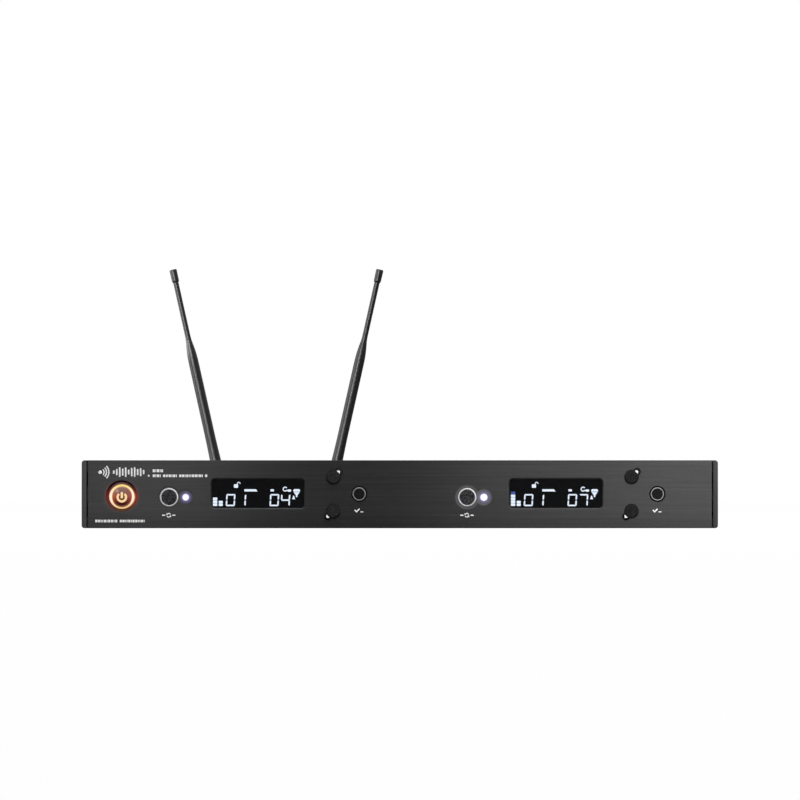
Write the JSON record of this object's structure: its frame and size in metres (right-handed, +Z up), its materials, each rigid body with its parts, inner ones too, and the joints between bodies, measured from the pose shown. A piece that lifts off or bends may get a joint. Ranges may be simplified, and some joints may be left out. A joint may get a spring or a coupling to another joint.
{
  "type": "wireless microphone receiver",
  "caption": "Slim rack-width radio microphone receiver: black metal case with displays, round push buttons, rear audio outputs and swivelling, folding whip aerials.",
  "frame": {"origin": "centre of the base plate's underside: half way across the width, and half way from the front plate's face to the rear panel's face", "axes": "+Z up, +X to the right of someone who faces the front plate, +Y from the front plate to the rear panel"},
  "size_m": [0.412, 0.2431, 0.1795],
  "materials": {
    "panel_black": "horizontally brushed, black anodised",
    "rail_black": "satin black anodised extrusion",
    "cover_black": "fine-texture black powder coat",
    "screw_black": "black zinc",
    "zinc": "bright zinc",
    "button_black": "satin moulded",
    "sync_black": "fine-texture moulded",
    "silver_ring": "satin chrome",
    "bright_ring": "polished",
    "power_red": "dark red translucent gloss",
    "power_amber": "lit diffuser, amber",
    "lamp_white": "lit diffuser, cool white",
    "lens_black": "smoked acrylic",
    "module_black": "moulded",
    "board_green": "solder mask on glass fibre",
    "chip_black": "moulded epoxy",
    "tin": "tin plate",
    "cap_sleeve": "shrink sleeve",
    "ribbon_grey": "flat cable jacket",
    "coax_black": "cable jacket",
    "nickel": "nickel plate",
    "black_nickel": "black nickel plate",
    "fork_black": "satin moulded",
    "whip_black": "satin overmoulding",
    "tip_black": "gloss moulded",
    "gold": "gold flash",
    "socket_black": "moulded",
    "slider_white": "moulded"
  },
  "bodies": {
    "casing": {"aerial_socket_nuts": "nickel", "aerial_sockets": "nickel", "board_and_bracket_screws": "zinc", "board_posts": "nickel", "bottom_cover": "cover_black", "capacitors": "cap_sleeve", "chip_packages": "chip_black", "coax_leads": "coax_black", "cover_screws": "screw_black", "display_modules": "module_black", "display_windows": "lens_black", "front_board": "board_green", "front_brackets": "zinc", "front_panel": "panel_black", "jack_nuts": "nickel", "jack_sockets": "socket_black", "level_switches": "socket_black", "main_board": "board_green", "power_inlet": "socket_black", "power_switch": "module_black", "rear_panel": "cover_black", "rear_panel_screws": "screw_black", "ribbon_cable": "ribbon_grey", "side_rail_left": "rail_black", "side_rail_right": "rail_black", "sync_lamps": "lamp_white", "sync_rings": "bright_ring", "tact_switches": "module_black", "top_cover": "cover_black", "tuner_shields": "tin", "xlr_contacts": "gold", "xlr_screws": "screw_black", "xlr_shells": "black_nickel"},
    "power_button": {"power_button_cap": "power_red", "power_button_ring": "power_amber"},
    "sync_1": {"sync_button_1": "sync_black"},
    "sync_2": {"sync_button_2": "sync_black"},
    "up_1": {"up_button_1": "button_black"},
    "up_2": {"up_button_2": "button_black"},
    "down_1": {"down_button_1": "button_black"},
    "down_2": {"down_button_2": "button_black"},
    "set_1": {"set_button_1": "button_black", "set_ring_1": "silver_ring"},
    "set_2": {"set_button_2": "button_black", "set_ring_2": "silver_ring"},
    "level_1": {"level_slider_1": "slider_white"},
    "level_2": {"level_slider_2": "slider_white"},
    "collar_left": {"coupling_collar_left": "black_nickel"},
    "collar_right": {"coupling_collar_right": "black_nickel"},
    "swivel_left": {"aerial_plug_left": "nickel", "aerial_fork_left": "fork_black", "fold_pin_left": "screw_black"},
    "swivel_right": {"aerial_plug_right": "nickel", "aerial_fork_right": "fork_black", "fold_pin_right": "screw_black"},
    "aerial_left": {"whip_left": "whip_black", "tip_cap_left": "tip_black"},
    "aerial_right": {"whip_right": "whip_black", "tip_cap_right": "tip_black"}
  },
  "joints": [
    {"name": "power_press", "type": "slide", "parent": "casing", "child": "power_button", "axis": [0, 1, 0], "range_m": [0, 0.001], "stiffness_N_per_m": 2500, "springref_m": -0.0004},
    {"name": "sync_press_1", "type": "slide", "parent": "casing", "child": "sync_1", "axis": [0, 1, 0], "range_m": [0, 0.0006], "stiffness_N_per_m": 2500, "springref_m": -0.0003},
    {"name": "up_press_1", "type": "slide", "parent": "casing", "child": "up_1", "axis": [0, 1, 0], "range_m": [0, 0.0006], "stiffness_N_per_m": 2500, "springref_m": -0.0003},
    {"name": "down_press_1", "type": "slide", "parent": "casing", "child": "down_1", "axis": [0, 1, 0], "range_m": [0, 0.0006], "stiffness_N_per_m": 2500, "springref_m": -0.0003},
    {"name": "set_press_1", "type": "slide", "parent": "casing", "child": "set_1", "axis": [0, 1, 0], "range_m": [0, 0.0006], "stiffness_N_per_m": 2500, "springref_m": -0.0003},
    {"name": "sync_press_2", "type": "slide", "parent": "casing", "child": "sync_2", "axis": [0, 1, 0], "range_m": [0, 0.0006], "stiffness_N_per_m": 2500, "springref_m": -0.0003},
    {"name": "up_press_2", "type": "slide", "parent": "casing", "child": "up_2", "axis": [0, 1, 0], "range_m": [0, 0.0006], "stiffness_N_per_m": 2500, "springref_m": -0.0003},
    {"name": "down_press_2", "type": "slide", "parent": "casing", "child": "down_2", "axis": [0, 1, 0], "range_m": [0, 0.0006], "stiffness_N_per_m": 2500, "springref_m": -0.0003},
    {"name": "set_press_2", "type": "slide", "parent": "casing", "child": "set_2", "axis": [0, 1, 0], "range_m": [0, 0.0006], "stiffness_N_per_m": 2500, "springref_m": -0.0003},
    {"name": "level_slide_1", "type": "slide", "parent": "casing", "child": "level_1", "axis": [1, 0, 0], "range_m": [0, 0.003]},
    {"name": "level_slide_2", "type": "slide", "parent": "casing", "child": "level_2", "axis": [1, 0, 0], "range_m": [0, 0.003]},
    {"name": "collar_turn_left", "type": "hinge", "parent": "casing", "child": "collar_left", "pos_m": [-0.1235, 0.115, 0.022], "axis": [0, 1, 0], "range_deg": [0, 90]},
    {"name": "aerial_swivel_left", "type": "hinge", "parent": "casing", "child": "swivel_left", "pos_m": [-0.1235, 0.132, 0.022], "axis": [0, 1, 0], "range_deg": [-77.4, 22.6]},
    {"name": "aerial_fold_left", "type": "hinge", "parent": "swivel_left", "child": "aerial_left", "pos_m": [-0.1235, 0.132, 0.022], "axis": [-0.9759, 0, -0.2181], "range_deg": [0, 90]},
    {"name": "collar_turn_right", "type": "hinge", "parent": "casing", "child": "collar_right", "pos_m": [-0.049, 0.115, 0.022], "axis": [0, 1, 0], "range_deg": [0, 90]},
    {"name": "aerial_swivel_right", "type": "hinge", "parent": "casing", "child": "swivel_right", "pos_m": [-0.049, 0.132, 0.022], "axis": [0, 1, 0], "range_deg": [-22.6, 77.4]},
    {"name": "aerial_fold_right", "type": "hinge", "parent": "swivel_right", "child": "aerial_right", "pos_m": [-0.049, 0.132, 0.022], "axis": [-0.9759, 0, 0.2181], "range_deg": [0, 90]}
  ]
}
